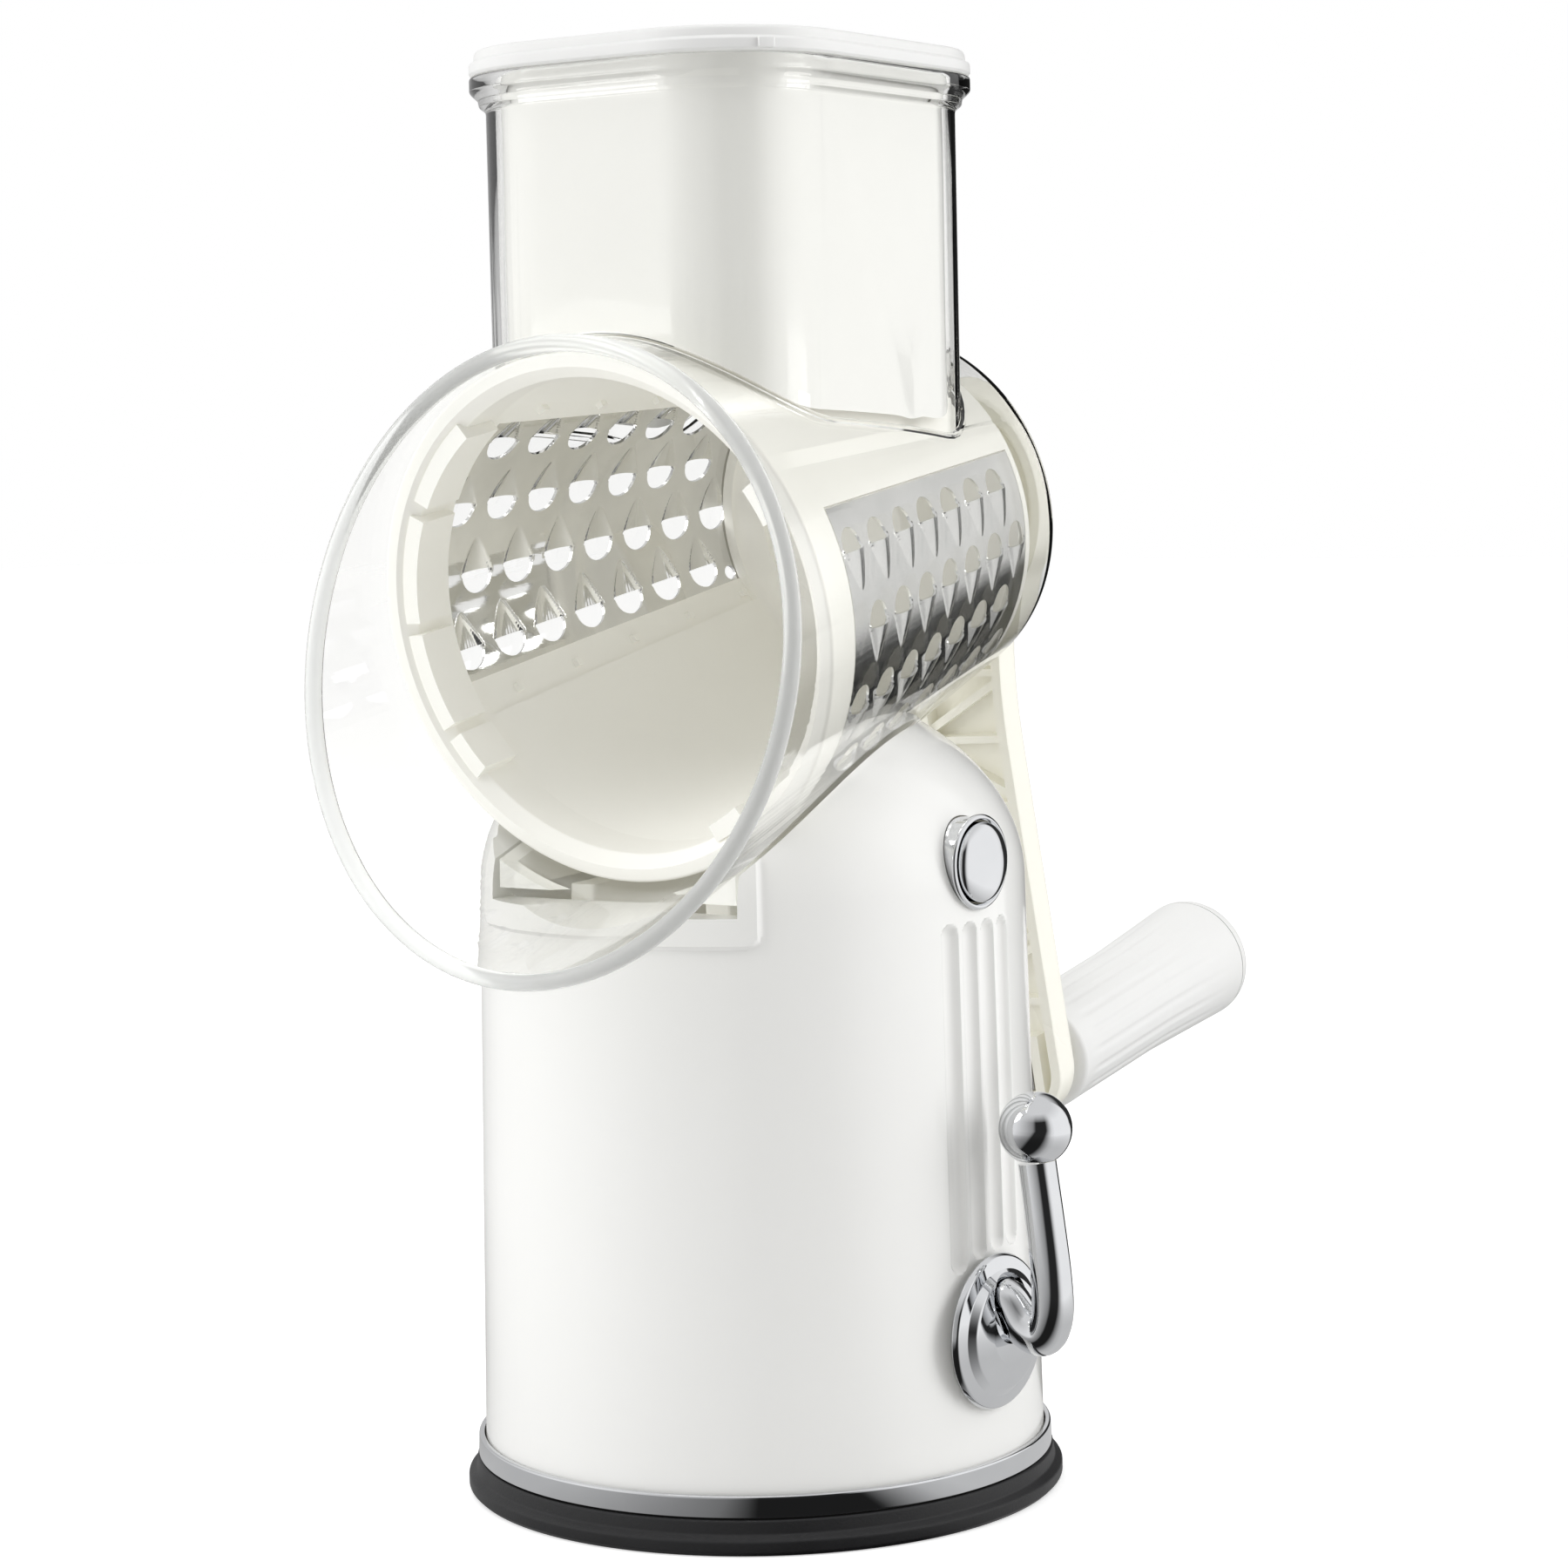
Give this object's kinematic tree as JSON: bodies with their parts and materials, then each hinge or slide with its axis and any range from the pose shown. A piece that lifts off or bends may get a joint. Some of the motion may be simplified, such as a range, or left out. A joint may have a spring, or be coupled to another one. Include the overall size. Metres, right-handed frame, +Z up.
{
  "type": "rotary drum grater",
  "caption": "Hand-cranked rotary drum grater: clear barrel and feed chute with a pusher on a white suction stand, with a release button and a suction lever.",
  "frame": {"origin": "centre of the flat underside of the suction cup", "axes": "+Z up, the drum's mouth faces -Y, the crank is on the +Y side, the button and the lever are on the +X side"},
  "size_m": [0.1339, 0.2613, 0.2843],
  "materials": {
    "white_gloss": "gloss",
    "cream_satin": "satin",
    "clear_plastic": "clear gloss",
    "black_rubber": "satin",
    "polished_chrome": "mirror",
    "grating_steel": "polished",
    "plain_steel": "plain"
  },
  "bodies": {
    "stand": {"body_shell": "white_gloss", "suction_cup": "black_rubber", "base_plate": "cream_satin", "chrome_band": "polished_chrome", "base_screw_1": "plain_steel", "base_screw_2": "plain_steel", "base_screw_3": "plain_steel", "base_screw_4": "plain_steel", "seat_rail_left": "cream_satin", "seat_rail_right": "cream_satin", "button_bezel": "polished_chrome", "button_spring": "plain_steel", "lever_bushing": "cream_satin", "cam_bracket_outer": "cream_satin", "cam_bracket_inner": "cream_satin", "stem_spring": "plain_steel"},
    "housing": {"barrel_shell": "clear_plastic", "feed_chute": "clear_plastic", "housing_foot": "clear_plastic", "rear_bush": "cream_satin"},
    "crank": {"crank_arm": "white_gloss", "drive_shaft": "plain_steel", "thrust_washer": "plain_steel", "arm_screw": "plain_steel", "hub_cap": "white_gloss", "knob_pin": "plain_steel", "knob_washer": "plain_steel", "knob_clip": "plain_steel"},
    "crank_knob": {"knob_grip": "white_gloss", "knob_cap": "white_gloss"},
    "drum": {"drum_frame": "cream_satin", "grating_sheet_right": "grating_steel", "grating_sheet_left": "grating_steel"},
    "pusher": {"pusher_body": "white_gloss", "pusher_lid": "white_gloss"},
    "button": {"release_button": "polished_chrome", "latch_bar": "cream_satin"},
    "lever": {"lever_hub": "polished_chrome", "lever_rod": "polished_chrome", "lever_ball": "polished_chrome", "lever_shaft": "plain_steel", "lever_cam": "cream_satin", "shaft_clip": "plain_steel"},
    "suction_pull": {"suction_stem": "plain_steel", "stem_yoke": "cream_satin"}
  },
  "joints": [
    {"name": "housing_lift", "type": "slide", "parent": "stand", "child": "housing", "axis": [0, 0, 1], "range_m": [0, 0.12]},
    {"name": "crank_turn", "type": "hinge", "parent": "housing", "child": "crank", "pos_m": [0, 0, 0.1836], "axis": [0, 0.9848, 0.1736], "continuous": true},
    {"name": "knob_spin", "type": "hinge", "parent": "crank", "child": "crank_knob", "pos_m": [0.0056, 0.10598, 0.07203], "axis": [0, 0.9848, 0.1736], "continuous": true},
    {"name": "drum_pull", "type": "slide", "parent": "crank", "child": "drum", "axis": [0, -0.9848, -0.1736], "range_m": [0, 0.105]},
    {"name": "pusher_lift", "type": "slide", "parent": "housing", "child": "pusher", "axis": [0, 0, 1], "range_m": [0, 0.08]},
    {"name": "button_press", "type": "slide", "parent": "stand", "child": "button", "axis": [-0.9986, 0.0523, 0], "range_m": [0, 0.003], "stiffness_N_per_m": 600, "springref_m": -0.003, "deforming": ["button_spring"]},
    {"name": "lever_turn", "type": "hinge", "parent": "stand", "child": "lever", "pos_m": [0, 0, 0.0362], "axis": [0.9986, -0.0523, 0], "range_deg": [0, 90]},
    {"name": "stem_lift", "type": "slide", "parent": "stand", "child": "suction_pull", "axis": [0, 0, 1], "range_m": [0, 0.003], "deforming": ["stem_spring"]}
  ],
  "couplings": [
    {"joint": "lever_turn", "follows": "stem_lift", "rad_per_m": 523.6}
  ]
}
